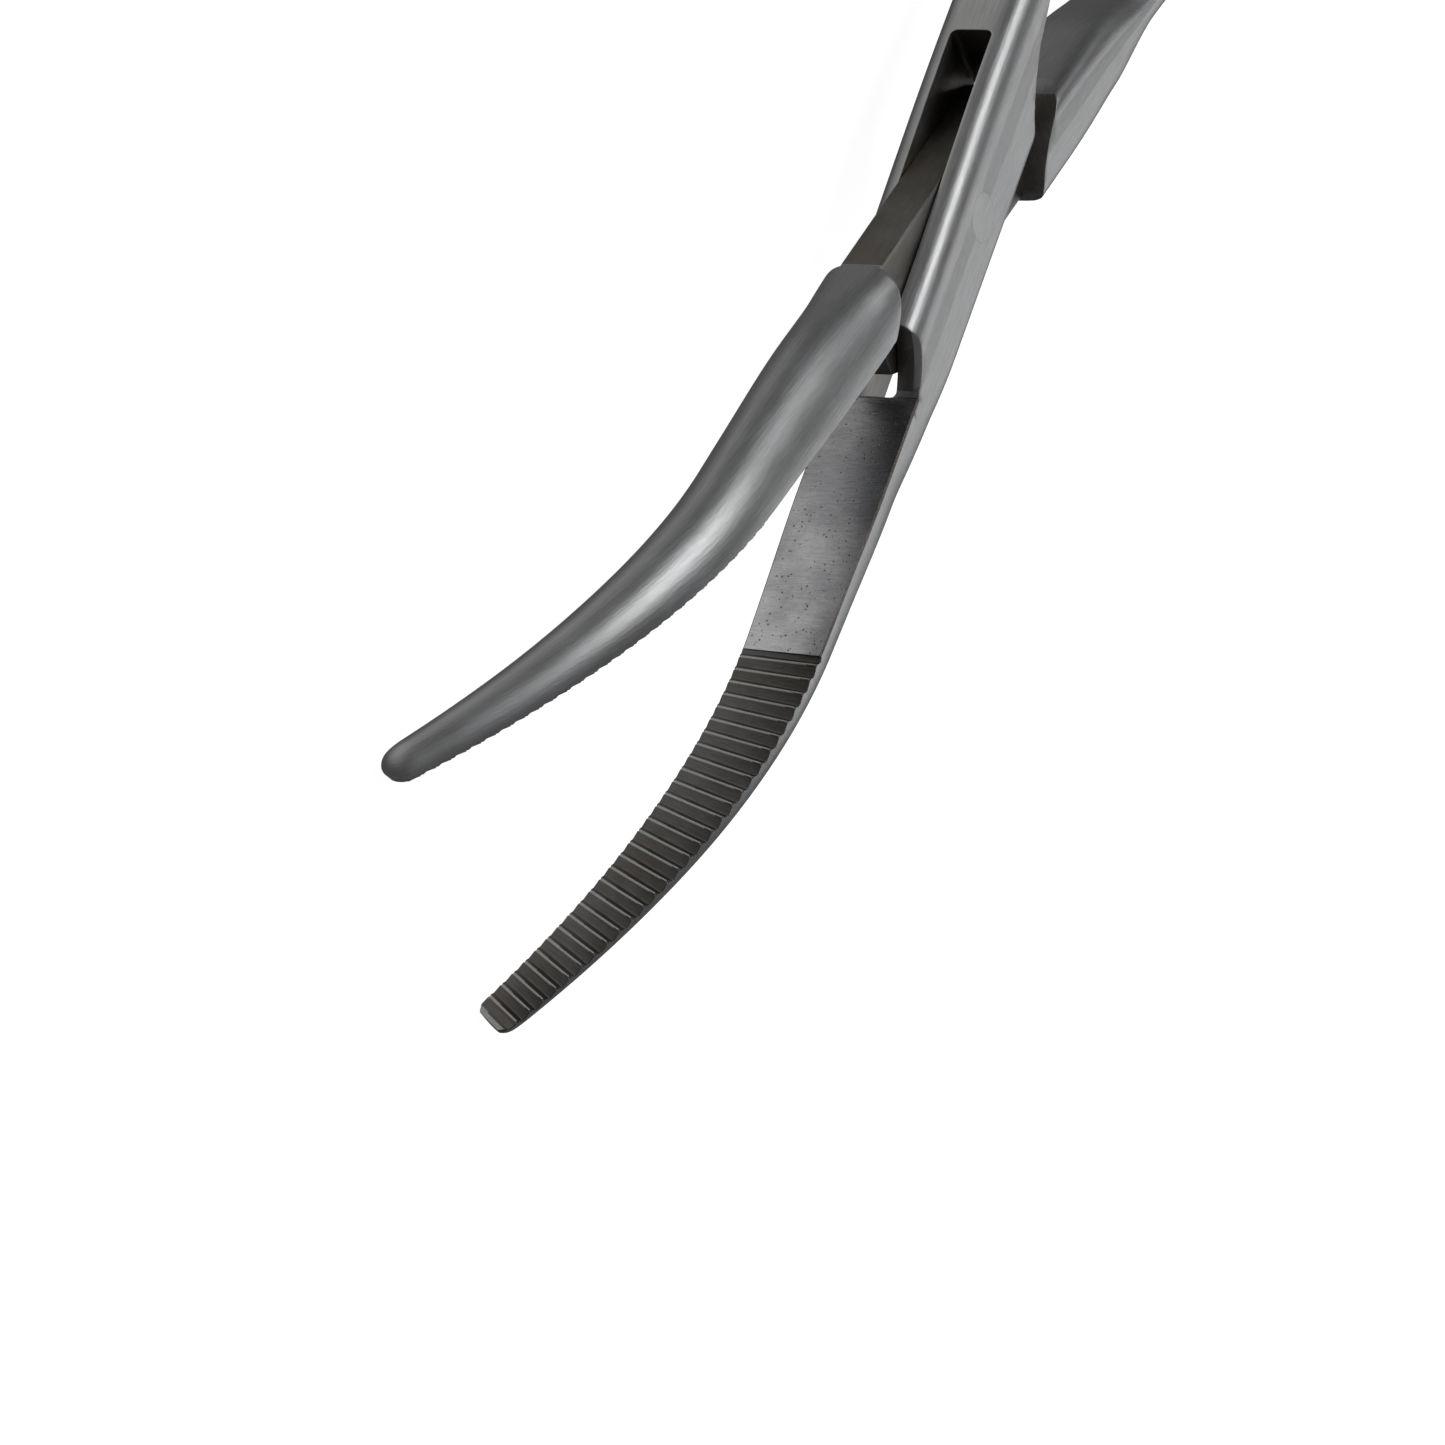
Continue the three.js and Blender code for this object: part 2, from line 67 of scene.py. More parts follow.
# The box lock.
HALF_THICKNESS = 2.3
BOX_BACK = 2.85
RIM_AT_JAW = 2.8
RIM_AT_SHANK = 3.4
SLOT_HALF_WIDTH = 1.12
SLOT_BACK = -9.1
SLOT_FRONT = 11.15
SLOT_CORNER = 0.3
FACE_GAP = 0.04
RUNNING_GAP = 0.05
SHOULDER_GAP = 0.3
PIN_RADIUS = 1.25
PIN_GAP = 0.006
EDGE_ROUND = 0.045
SEAT_CHAMFER = 0.28
LOCK_BACK = -14.0  # sharp edges are rounded from here to the front end of the slot
WIDE = 12.0  # reaches past the body on both sides, for the cutters

# Where the other half's jaw and shank sit: (x, y) control points from the outside in.
JAW_SEAT_START = 8.75
SHANK_SEAT_START = -6.6
JAW_SEAT = [(JAW_SEAT_START, RIM_AT_JAW), (9.1, 1.3), (SLOT_FRONT - 1.2, 0.75), (SLOT_FRONT, 0.0)]
SHANK_SEAT = [(SHANK_SEAT_START, BOX_BACK), (-7.1, 1.3), (-9.3, 0.2), (-10.7, -0.45)]
SEAT_POINTS = 14

# The waist: radii of its ends round the pivot, and where its edges meet the jaw and the shank.
WAIST_FRONT_RADIUS = SLOT_FRONT - 0.6
WAIST_BACK_RADIUS = -SLOT_BACK - 0.45
WAIST_FRONT_EDGE = BOX_BACK - 0.3
WAIST_BACK_EDGE = 2.6
WAIST_FACE_RELIEF = 0.14
WAIST_ROOT = [(SHANK_SEAT_START, -3.0), (-12.5, -3.1), (-12.5, -1.3), (SLOT_BACK, -0.9)]

# The jaws, by distance along their centre line from the front end of the slot.
JAW_LENGTH = 38.2
JAW_STRAIGHT = 14.0
JAW_DROP = 7.9
JAW_TIP_SLOPE = math.radians(34)
BEND_SHORTENING = 0.928
SERRATION_START = 15.2
SERRATION_PITCH = 0.776
SERRATION_COUNT = 30
SERRATION_DEPTH = 0.24
SHALLOW_SIDE = 0.3  # share of the depth left on the shallow side
SMOOTH_STATIONS = 46
FACE_CHAMFER = 0.09
GROOVE_CHAMFER = 0.03
TIP_SIDE_ROUND = 0.75
TIP_BACK_ROUND = 1.5
TIP_POWER = 2.4
TIP_FACET = 0.12
TIP_STATIONS = 14
TIP_TRIM = {"female": -0.15, "male": 0.55}  # how far each jaw stops short of JAW_LENGTH
JAW_ROOT = 0.05
MALE_ROOT = -6.0

# One serration from crest to crest: a long flank down towards the tip, then a steep wall.
SERRATION_PHASES = [0.0, 0.04, 0.1, 0.2, 0.32, 0.45, 0.56, 0.66, 0.7, 0.76, 0.83, 0.9, 0.96]
SERRATION_FLANK = (0.04, 0.66)
SERRATION_WALL = (0.7, 0.96)
SERRATION_HOLLOW = 0.85  # below 1, the flank is slightly hollow
FIRST_SERRATION_PHASE = 0.4

# Corners of a section of jaw or box: over its back, and along its face or round its rim.
ARC_CORNERS = 44
FACE_CORNERS = 26
FACE_GRAIN_START = 20.0  # where the grain coordinate round a section begins again on the jaw face

# Sections of box and jaw: (distance from the slot's front end, half width, height of the back,
# roundness of the back).
FEMALE_SECTIONS = [
    (-37.2, 1.75, 2.85, 5.0),
    (-27.0, 2.22, 2.85, 5.0),
    (-22.5, 2.3, 2.85, 5.0),
    (-4.0, 2.3, 2.85, 5.0),
    (0.0, 2.34, 2.98, 3.3),
    (5.0, 2.34, 3.36, 1.9),
    (12.0, 2.17, 3.0, 1.85),
    (18.0, 2.03, 2.52, 1.85),
    (24.0, 1.82, 2.08, 1.85),
    (30.0, 1.53, 1.62, 1.85),
    (38.4, 1.12, 1.08, 1.85),
]
MALE_SECTIONS = [
    (-8.0, 2.3, 2.86, 3.2),
    (-2.5, 2.32, 2.92, 2.9),
    (1.0, 2.36, 3.1, 2.15),
    *FEMALE_SECTIONS[5:],
]
BOX_STATIONS = 90
RIM_ROUNDNESS = 4.0
# Height of the rim, the box's side away from its own back, by the same distance.
RIMS = [(-37.2, 3.0), (-28.0, 3.36), (-20.2, RIM_AT_SHANK), (-2.0, RIM_AT_JAW), (0.0, RIM_AT_JAW)]
BOX_FLATNESS = 0.03  # how much of a section's half width is given up to a flat broad face
BOX_FLAT_RUN_OUT = 4.0

# Behind the shank seats: (x, y) of the box's edge beside the male shank, and of that shank's edge.
SHANK_ROOM = [(-13.2, -1.05), (-17.0, -1.1), (-27.0, -2.0)]
MALE_SHANK_INNER = [(-12.0, 0.58), (-12.6, 0.75)]

# Shanks: plan of the centre line, then (share of its length, half width, half thickness, roundness).
FEMALE_SHANK = [(-4.5, -1.9), (-11.5, -2.25), (-16, -2.25), (-23, -2.2), (-33, -2.5)]
MALE_SHANK = [(-4.5, -1.4), (-11.5, -1.4), (-16, -1.4), (-23, -1.75), (-33, -2.5)]
SHANK_REST = [(-46, -4.4), (-58, -7.3), (-69.3, -10.3)]
FEMALE_SHANK_SECTIONS = [
    (0.0, 1.0, 1.8, 3.0),
    (0.2, 1.0, 1.8, 3.0),
    (0.3, 1.35, 2.05, 2.6),
    (0.45, 1.55, 1.95, 2.4),
    (0.75, 1.8, 1.85, 2.2),
    (1.0, 1.9, 1.75, 2.0),
]
MALE_SHANK_SECTIONS = [
    (0.0, 1.95, 2.3, 6.0),
    (0.1, 2.0, 2.3, 6.0),
    (0.2, 2.0, 2.25, 4.0),
    *FEMALE_SHANK_SECTIONS[2:],
]
SHANK_STATIONS = 110
SHANK_CORNERS = 48

RING_CENTRE = (-78.3, -17.4)
RING_HALF_LENGTH = 12.6
RING_HALF_WIDTH = 10.9
RING_BAR_RADIUS = 2.1
RING_GRAIN_RADIUS = 12.0
RING_TURNS = 160
RING_SIDES = 40

CATCH_FRONT = -59.3
CATCH_BACK = -65.3
CATCH_FRONT_ROOT = -7.2
CATCH_BACK_ROOT = -8.8
CATCH_REACH = 1.9
CATCH_CORNER = 1.0
CATCH_THICKNESS = 1.75
CATCH_FACE_GAP = 0.12
CATCH_TEETH = 4
CATCH_TOOTH_START = 0.35
CATCH_PITCH = 1.15
CATCH_DEPTH = 0.55
CATCH_CREST = 0.2

SMOOTH_ANGLE = math.radians(32)  # edges that turn by more than this are shaded sharp
BEVEL_ANGLE = math.radians(40)

# The camera in the female half's own axes and millimetres.
CAMERA_POSITION = (165.28, -209.11, 123.79)
CAMERA_FORWARD = (-0.48386, 0.75043, -0.45027)
CAMERA_UPWARD = (-0.82090, -0.56751, -0.06369)
CAMERA_LENS = 148.2

ROUGHNESS_SPREAD = 0.08
STAIN_TINT = (1.0, 1.12, 1.3)  # shares of a stain's strength taken from red, green and blue


# ---------------------------------------------------------------- curves and tables

def smooth_table(rows, x, column):
    """Monotone cubic interpolation (Fritsch-Carlson) through rows of (position, value, ...)."""
    xs = np.array([row[0] for row in rows], float)
    ys = np.array([row[column] for row in rows], float)
    step = np.diff(xs)
    slope = np.diff(ys) / step
    tangent = np.zeros(len(xs))
    tangent[0], tangent[-1] = slope[0], slope[-1]
    for i in range(1, len(xs) - 1):
        if slope[i - 1] * slope[i] > 0:
            w1, w2 = 2 * step[i] + step[i - 1], step[i] + 2 * step[i - 1]
            tangent[i] = (w1 + w2) / (w1 / slope[i - 1] + w2 / slope[i])
    x = np.clip(np.asarray(x, float), xs[0], xs[-1])
    k = np.clip(np.searchsorted(xs, x, "right") - 1, 0, len(step) - 1)
    t = (x - xs[k]) / step[k]
    return (
        ys[k] * (2 * t**3 - 3 * t**2 + 1)
        + tangent[k] * step[k] * (t**3 - 2 * t**2 + t)
        + ys[k + 1] * (3 * t**2 - 2 * t**3)
        + tangent[k + 1] * step[k] * (t**3 - t**2)
    )


def smoothstep(x, low, high):
    t = np.clip((np.asarray(x, float) - low) / (high - low), 0, 1)
    return t * t * (3 - 2 * t)


def curve_by_length(points, count):
    """Points and unit tangents at even distances along a dense polyline."""
    points = np.asarray(points, float)
    gone = np.concatenate([[0], np.cumsum(np.linalg.norm(np.diff(points, axis=0), axis=1))])
    at = np.linspace(0, gone[-1], count)
    place = np.stack([np.interp(at, gone, points[:, i]) for i in range(points.shape[1])], 1)
    tangent = np.gradient(place, axis=0)
    return at, place, tangent / np.linalg.norm(tangent, axis=1, keepdims=True)


def bezier(p0, p1, p2, p3, count):
    t = np.linspace(0, 1, count)[:, None]
    p0, p1, p2, p3 = (np.asarray(p, float) for p in (p0, p1, p2, p3))
    return (1 - t) ** 3 * p0 + 3 * (1 - t) ** 2 * t * p1 + 3 * (1 - t) * t**2 * p2 + t**3 * p3


BEND_LENGTH = JAW_LENGTH - JAW_STRAIGHT
BEND_START = np.array([SLOT_FRONT + JAW_STRAIGHT, 0.0])
JAW_TIP = np.array([BEND_START[0] + BEND_SHORTENING * BEND_LENGTH, -JAW_DROP])
TIP_DIRECTION = np.array([math.cos(JAW_TIP_SLOPE), -math.sin(JAW_TIP_SLOPE)])
BEND_AT, BEND_PLACE, BEND_TANGENT = curve_by_length(
    bezier(
        BEND_START,
        BEND_START + np.array([BEND_LENGTH / 3, 0]),
        JAW_TIP - TIP_DIRECTION * BEND_LENGTH / 3,
        JAW_TIP,
        400,
    ),
    400,
)


def jaw_line(distance):
    """Centre points (x, z) and unit tangents of the jaw's centre line at distances from the slot end."""
    distance = np.asarray(distance, float)
    along = np.clip((distance - JAW_STRAIGHT) / BEND_LENGTH, 0, 1) * BEND_AT[-1]
    place = np.stack([np.interp(along, BEND_AT, BEND_PLACE[:, i]) for i in (0, 1)], 1)
    tangent = np.stack([np.interp(along, BEND_AT, BEND_TANGENT[:, i]) for i in (0, 1)], 1)
    straight = distance < JAW_STRAIGHT
    place[straight, 0] = SLOT_FRONT + distance[straight]
    return place, tangent / np.linalg.norm(tangent, axis=1, keepdims=True)


# ---------------------------------------------------------------- mesh helpers

def mesh_object(name, verts, faces, uvs=None):
    """A mesh object in half-frame millimetres, its faces turned outwards. uvs: one pair per vertex."""
    mesh = bpy.data.meshes.new(name)
    mesh.from_pydata([tuple(v) for v in verts], [], [tuple(f) for f in faces])
    if uvs is not None:
        layer = mesh.uv_layers.new(name="grain")
        index = np.zeros(len(mesh.loops), np.int32)
        mesh.loops.foreach_get("vertex_index", index)
        layer.data.foreach_set("uv", np.asarray(uvs, np.float32)[index].ravel())
    bm = bmesh.new()
    bm.from_mesh(mesh)
    if bm.calc_volume(signed=True) < 0:
        bmesh.ops.reverse_faces(bm, faces=bm.faces)
    bm.to_mesh(mesh)
    bm.free()
    obj = bpy.data.objects.new(name, mesh)
    bpy.context.scene.collection.objects.link(obj)
    return obj


def grid_body(name, rings, uv):
    """A closed body through rings of points (stations, corners, 3), capped by a fan at each end."""
    stations, corners = rings.shape[:2]
    verts = rings.reshape(-1, 3).tolist()
    uvs = uv.reshape(-1, 2).tolist()
    faces = []
    for i in range(stations - 1):
        a, b = i * corners, (i + 1) * corners
        for k in range(corners):
            n = (k + 1) % corners
            faces.append((a + k, a + n, b + n, b + k))
    for station, turn in ((0, 1), (stations - 1, -1)):
        centre = len(verts)
        verts.append(rings[station].mean(axis=0).tolist())
        uvs.append(uv[station].mean(axis=0).tolist())
        base = station * corners
        for k in range(corners):
            face = (centre, base + (k + 1) % corners, base + k)
            faces.append(face[::turn])
    return mesh_object(name, verts, faces, uvs)


def prism(name, outline, low, high, axis="z"):
    """A prism with an (x, y) outline from z = low to high, or an (x, z) outline along y."""
    n = len(outline)
    place = (lambda p, h: (p[0], p[1], h)) if axis == "z" else (lambda p, h: (p[0], h, p[1]))
    verts = [place(p, low) for p in outline] + [place(p, high) for p in outline]
    faces = [tuple(range(n)), tuple(range(2 * n - 1, n - 1, -1))]
    faces += [(i, i + n, (i + 1) % n + n, (i + 1) % n) for i in range(n)]
    uvs = [(v[0], v[1] + v[2]) for v in verts]
    return mesh_object(name, verts, faces, uvs)


def loft(name, low_outline, high_outline, low, high):
    """A solid between an (x, y) outline at z = low and another with as many points at z = high."""
    n = len(low_outline)
    verts = [(*p, low) for p in low_outline] + [(*p, high) for p in high_outline]
    faces = [tuple(range(n)), tuple(range(2 * n - 1, n - 1, -1))]
    faces += [(i, i + n, (i + 1) % n + n, (i + 1) % n) for i in range(n)]
    return mesh_object(name, verts, faces, [(v[0], v[1] + v[2]) for v in verts])


def apply_modifiers(obj):
    depsgraph = bpy.context.evaluated_depsgraph_get()
    mesh = bpy.data.meshes.new_from_object(obj.evaluated_get(depsgraph), depsgraph=depsgraph)
    obj.modifiers.clear()
    old = obj.data
    obj.data = mesh
    bpy.data.meshes.remove(old)


def boolean(obj, other, operation):
    """Joins other to obj, or cuts it away, exactly, and removes other."""
    modifier = obj.modifiers.new(operation, "BOOLEAN")
    modifier.object = other
    modifier.operation = operation
    modifier.solver = "EXACT"
    modifier.material_mode = "TRANSFER"
    apply_modifiers(obj)
    bpy.data.objects.remove(other)


def use_material(obj, material):
    obj.data.materials.clear()
    obj.data.materials.append(material)


# ---------------------------------------------------------------- materials

def steel_material(
    name, color, roughness, grain, grain_strength, pits=0.0, stain=0.0, stain_tint=STAIN_TINT, painted_light_and_shade=()
):
    """Ground stainless steel. grain scales the noise in the grain UV map, per millimetre. The painted
    light and shade argument lists (channel of the grain UV map, from, to, value at from, value at to)
    for painted light and shade that darken or lighten the colour."""
    material = bpy.data.materials.new(name)
    material.use_nodes = True
    nodes, links = material.node_tree.nodes, material.node_tree.links
    shader = nodes["Principled BSDF"]
    shader.inputs["Metallic"].default_value = 1.0

    def node(kind, **values):
        made = nodes.new(kind)
        for key, value in values.items():
            if key in made.inputs:
                made.inputs[key].default_value = value
            else:
                setattr(made, key, value)
        return made

    uv = node("ShaderNodeUVMap", uv_map="grain")
    place = node("ShaderNodeTexCoord")
    stretched = node("ShaderNodeMapping")
    stretched.inputs["Scale"].default_value = (grain[0], grain[1], 1)
    links.new(uv.outputs["UV"], stretched.inputs["Vector"])
    lines = node("ShaderNodeTexNoise", Scale=1.0, Detail=4.0, Roughness=0.65)
    links.new(stretched.outputs["Vector"], lines.inputs["Vector"])
    cloud = node("ShaderNodeTexNoise", Scale=260.0, Detail=5.0, Roughness=0.6)
    links.new(place.outputs["Object"], cloud.inputs["Vector"])

    ramp = node("ShaderNodeValToRGB")
    low, high = ramp.color_ramp.elements
    low.position, high.position = 0.32, 0.68
    low.color = (*(c * 0.86 for c in color), 1)
    high.color = (*(c * 1.08 for c in color), 1)
    links.new(lines.outputs["Fac"], ramp.inputs["Fac"])
    base = ramp.outputs["Color"]

    stain_ramp = node("ShaderNodeValToRGB")
    stains, clean = stain_ramp.color_ramp.elements
    stains.position, clean.position = 0.42, 0.6
    stains.color = (*(1 - stain * share for share in stain_tint), 1)
    clean.color = (1, 1, 1, 1)
    links.new(cloud.outputs["Fac"], stain_ramp.inputs["Fac"])
    stained = node("ShaderNodeMix", data_type="RGBA", blend_type="MULTIPLY")
    stained.inputs[0].default_value = 1.0
    links.new(base, stained.inputs[6])
    links.new(stain_ramp.outputs["Color"], stained.inputs[7])
    base = stained.outputs[2]

    parts = node("ShaderNodeSeparateXYZ")
    links.new(uv.outputs["UV"], parts.inputs[0])
    # Painted light and shade: the colour is scaled up or down along a channel of the grain UV map.
    for channel, start, end, at_start, at_end in painted_light_and_shade:
        painted_falloff = node("ShaderNodeMapRange", interpolation_type="SMOOTHSTEP")
        limits = {"From Min": start, "From Max": end, "To Min": at_start, "To Max": at_end}
        for key, value in limits.items():
            painted_falloff.inputs[key].default_value = value
        links.new(parts.outputs[channel], painted_falloff.inputs["Value"])
        shaded = node("ShaderNodeVectorMath", operation="SCALE")
        links.new(base, shaded.inputs[0])
        links.new(painted_falloff.outputs["Result"], shaded.inputs["Scale"])
        base = shaded.outputs["Vector"]

    bump = node("ShaderNodeBump", Strength=grain_strength, Distance=0.00004)
    links.new(lines.outputs["Fac"], bump.inputs["Height"])
    normal = bump.outputs["Normal"]

    if pits:
        spots = node("ShaderNodeTexVoronoi", Scale=3800.0)
        links.new(place.outputs["Object"], spots.inputs["Vector"])
        chosen = node("ShaderNodeMapRange", interpolation_type="SMOOTHSTEP")
        chosen.inputs["From Min"].default_value = 0.12
        chosen.inputs["From Max"].default_value = 0.24
        links.new(spots.outputs["Distance"], chosen.inputs["Value"])
        fleck = node("ShaderNodeTexNoise", Scale=2600.0, Detail=2.0, Roughness=0.5)
        links.new(place.outputs["Object"], fleck.inputs["Vector"])
        sparse = node("ShaderNodeMapRange")
        sparse.inputs["From Min"].default_value = 0.5
        sparse.inputs["From Max"].default_value = 0.56
        links.new(fleck.outputs["Fac"], sparse.inputs["Value"])
        pitted = node("ShaderNodeMath", operation="MAXIMUM")
        either = node("ShaderNodeMath", operation="SUBTRACT")
        either.inputs[0].default_value = 1.0
        links.new(sparse.outputs["Result"], either.inputs[1])
        links.new(chosen.outputs["Result"], pitted.inputs[0])
        links.new(either.outputs["Value"], pitted.inputs[1])
        dark = node("ShaderNodeMix", data_type="RGBA", blend_type="MIX")
        dark.inputs[6].default_value = (*(c * (1 - pits) for c in color), 1)
        links.new(pitted.outputs["Value"], dark.inputs[0])
        links.new(base, dark.inputs[7])
        base = dark.outputs[2]
        dent = node("ShaderNodeBump", Strength=0.5, Distance=0.00003)
        links.new(pitted.outputs["Value"], dent.inputs["Height"])
        links.new(normal, dent.inputs["Normal"])
        normal = dent.outputs["Normal"]

    rough = node("ShaderNodeMapRange")
    rough.inputs["To Min"].default_value = roughness - ROUGHNESS_SPREAD
    rough.inputs["To Max"].default_value = roughness + ROUGHNESS_SPREAD
    links.new(cloud.outputs["Fac"], rough.inputs["Value"])
    links.new(rough.outputs["Result"], shader.inputs["Roughness"])
    links.new(base, shader.inputs["Base Color"])
    links.new(normal, shader.inputs["Normal"])
    return material


outer_steel = steel_material("steel_satin", (0.47, 0.478, 0.482), 0.42, (0.55, 9.0), 0.25, stain=0.06)
# The jaw face: ground steel with real grain, pits and stains, and painted light: a brighter base colour
# than the outer steel, lighter still along the first part of the jaw, and a painted shade band along one
# long edge of the face.
lit_face_steel = steel_material(
    "steel_ground_face_painted_light",
    (0.61, 0.617, 0.63),
    0.34,
    (11.0, 0.7),
    0.8,
    pits=0.6,
    stain=0.3,
    stain_tint=(1.0, 0.98, 0.94),
    painted_light_and_shade=[(0, 38.0, 50.5, 0.9, 1.3), (1, FACE_GRAIN_START + 0.1, FACE_GRAIN_START + 1.3, 0.8, 1.0)],
)
# Painted shade: a much darker steel for the groove faces between the serration crests, with real stains.
groove_shade_steel = steel_material("steel_groove_painted_shade", (0.2, 0.193, 0.187), 0.42, (10.0, 1.0), 0.4, stain=0.25)
# Painted shade: a darker steel for the slot's walls, the male waist and the seat faces, with real
# stains.
slot_shade_steel = steel_material("steel_slot_painted_shade", (0.29, 0.28, 0.265), 0.42, (0.6, 8.0), 0.4, stain=0.25)
pin_steel = steel_material("steel_pin", (0.47, 0.478, 0.482), 0.42, (0.6, 9.0), 0.25, stain=0.06)
PALETTE = [outer_steel, lit_face_steel, groove_shade_steel, slot_shade_steel]
OUTER, LIT_FACE, GROOVE_SHADE, SLOT_SHADE = range(4)


# ---------------------------------------------------------------- bodies

def arc(height, half_width, roundness, first_floor, last_floor):
    """Points (across, out) over the back of a section, from one side's floor to the other's."""
    t = np.linspace(0, math.pi, ARC_CORNERS)
    floor = first_floor + (last_floor - first_floor) * t / math.pi
    out = floor + (height - floor) * np.sin(t) ** (2 / roundness)
    across = half_width * np.clip(1 - (out / height) ** roundness, 0, 1) ** (1 / roundness)
    return np.where(t < math.pi / 2, across, -across), out


def serration_depth(distance):
    """Depth of the jaw face below its crests at a distance along the jaw."""
    phase = (distance - SERRATION_START) / SERRATION_PITCH + 0.5
    if not FIRST_SERRATION_PHASE - 1e-6 <= phase < SERRATION_COUNT:
        return 0.0
    phase %= 1
    flank_start, flank_end = SERRATION_FLANK
    wall_start, wall_end = SERRATION_WALL
    down = np.clip((phase - flank_start) / (flank_end - flank_start), 0, 1) ** SERRATION_HOLLOW
    back = np.clip((phase - wall_start) / (wall_end - wall_start), 0, 1)
    return SERRATION_DEPTH * float(down * (1 - back))


def jaw_stations(length):
    """Distances of the jaw's sections: close together over each serration and round the tip."""
    first = SERRATION_START + (FIRST_SERRATION_PHASE - 0.5) * SERRATION_PITCH
    smooth = np.append(np.linspace(JAW_ROOT, first - 0.03, SMOOTH_STATIONS), first - 0.02)
    toothed = [
        SERRATION_START + (tooth + phase - 0.5) * SERRATION_PITCH
        for tooth in range(SERRATION_COUNT)
        for phase in SERRATION_PHASES
    ]
    end = length - TIP_BACK_ROUND * 0.25
    toothed = [first] + [d for d in toothed if first + 0.01 < d < end - 0.02]
    turn = np.linspace(0, math.pi / 2, TIP_STATIONS)
    tip = length - (length - end) * (1 - np.sin(turn))
    return np.concatenate([smooth, toothed, tip])


def tip_size(to_tip, length):
    """How much of a section is left near the rounded tip."""
    near = np.clip(1 - to_tip / length, 0, 1)
    return float((1 - (1 - TIP_FACET) * near**TIP_POWER) ** (1 / TIP_POWER))


def jaw_ring(distance, place, tangent, length, sections, turned):
    """One D-shaped section of the jaw: arched back, then the flat face."""
    side = tip_size(length - distance, TIP_SIDE_ROUND)
    back = tip_size(length - distance, TIP_BACK_ROUND)
    half_width = float(smooth_table(sections, distance, 1)) * side
    height = float(smooth_table(sections, distance, 2)) * back
    roundness = float(smooth_table(sections, distance, 3))
    depth = serration_depth(distance) * float(smoothstep(length - distance, 0.1, 1.2))
    chamfer = FACE_CHAMFER if depth < 0.02 else GROOVE_CHAMFER
    # The grooves are deeper on the side that across is negative on.
    share = np.linspace(1, SHALLOW_SIDE, FACE_CORNERS)
    face = FACE_GAP + depth * share
    across, out = arc(height, half_width, roundness, face[-1] + chamfer, face[0] + chamfer)
    flat = np.linspace(across[-1] + chamfer, across[0] - chamfer, FACE_CORNERS)
    across = np.concatenate([across, flat])
    out = np.concatenate([out, face])
    across *= turned
    # Across runs towards -Z where the jaw is straight, square to its centre line.
    ring = np.zeros((len(across), 3))
    ring[:, 0] = place[0] + across * tangent[1]
    ring[:, 1] = out
    ring[:, 2] = place[1] - across * tangent[0]
    return ring


def box_ring(x, rim, sections):
    """One section of the box: squarish crowned back and rim."""
    distance = x - SLOT_FRONT
    half_width, height, roundness = (float(smooth_table(sections, distance, k)) for k in (1, 2, 3))
    flat = 1 + BOX_FLATNESS * float(smoothstep(SLOT_FRONT - x, 0, BOX_FLAT_RUN_OUT))
    across, out = arc(height, half_width, roundness, 0.02, 0.02)
    across = np.clip(across * flat, -half_width, half_width)
    t = np.linspace(math.pi, 2 * math.pi, FACE_CORNERS + 2)[1:-1]
    low_across = np.sign(np.cos(t)) * np.abs(np.cos(t)) ** (2 / RIM_ROUNDNESS)
    low_across = half_width * np.clip(low_across * flat, -1, 1)
    low_out = -rim * np.abs(np.sin(t)) ** (2 / RIM_ROUNDNESS)
    ring = np.zeros((ARC_CORNERS + FACE_CORNERS, 3))
    ring[:, 0] = x
    ring[:, 1] = np.concatenate([out, low_out])
    ring[:, 2] = -np.concatenate([across, low_across])
    return ring


def ring_uv(rings):
    """Grain coordinates in millimetres: along the body, and round each section."""
    gaps = np.linalg.norm(np.diff(rings.mean(axis=1), axis=0), axis=1)
    along = np.concatenate([[0], np.cumsum(gaps)])
    step = np.linalg.norm(np.diff(rings, axis=1), axis=2)
    round_it = np.concatenate([np.zeros((len(rings), 1)), np.cumsum(step, axis=1)], axis=1)
    if rings.shape[1] == ARC_CORNERS + FACE_CORNERS:
        round_it[:, ARC_CORNERS:] += FACE_GRAIN_START - round_it[:, ARC_CORNERS:ARC_CORNERS + 1]
    return np.stack([np.repeat(along[:, None], rings.shape[1], 1), round_it], 2)


def forward_body(name, side):
    """The jaw with a short root, and for the female half the whole box behind it."""
    length = JAW_LENGTH - TIP_TRIM[side]
    sections = FEMALE_SECTIONS if side == "female" else MALE_SECTIONS
    turned = 1 if side == "female" else -1
    distances = jaw_stations(length)
    if side == "male":
        distances = np.concatenate([np.linspace(MALE_ROOT, -0.2, 20), distances])
    rings = [
        jaw_ring(distance, place, tangent, length, sections, turned)
        for distance, place, tangent in zip(distances, *jaw_line(distances))
    ]
    if side == "female":
        xs = np.linspace(SLOT_FRONT + sections[0][0], SLOT_FRONT + 0.02, BOX_STATIONS)
        rims = smooth_table(RIMS, xs - SLOT_FRONT, 1)
        rings = [box_ring(x, float(rim), sections) for x, rim in zip(xs, rims)] + rings
    rings = np.array(rings)
    return grid_body(name, rings, ring_uv(rings))


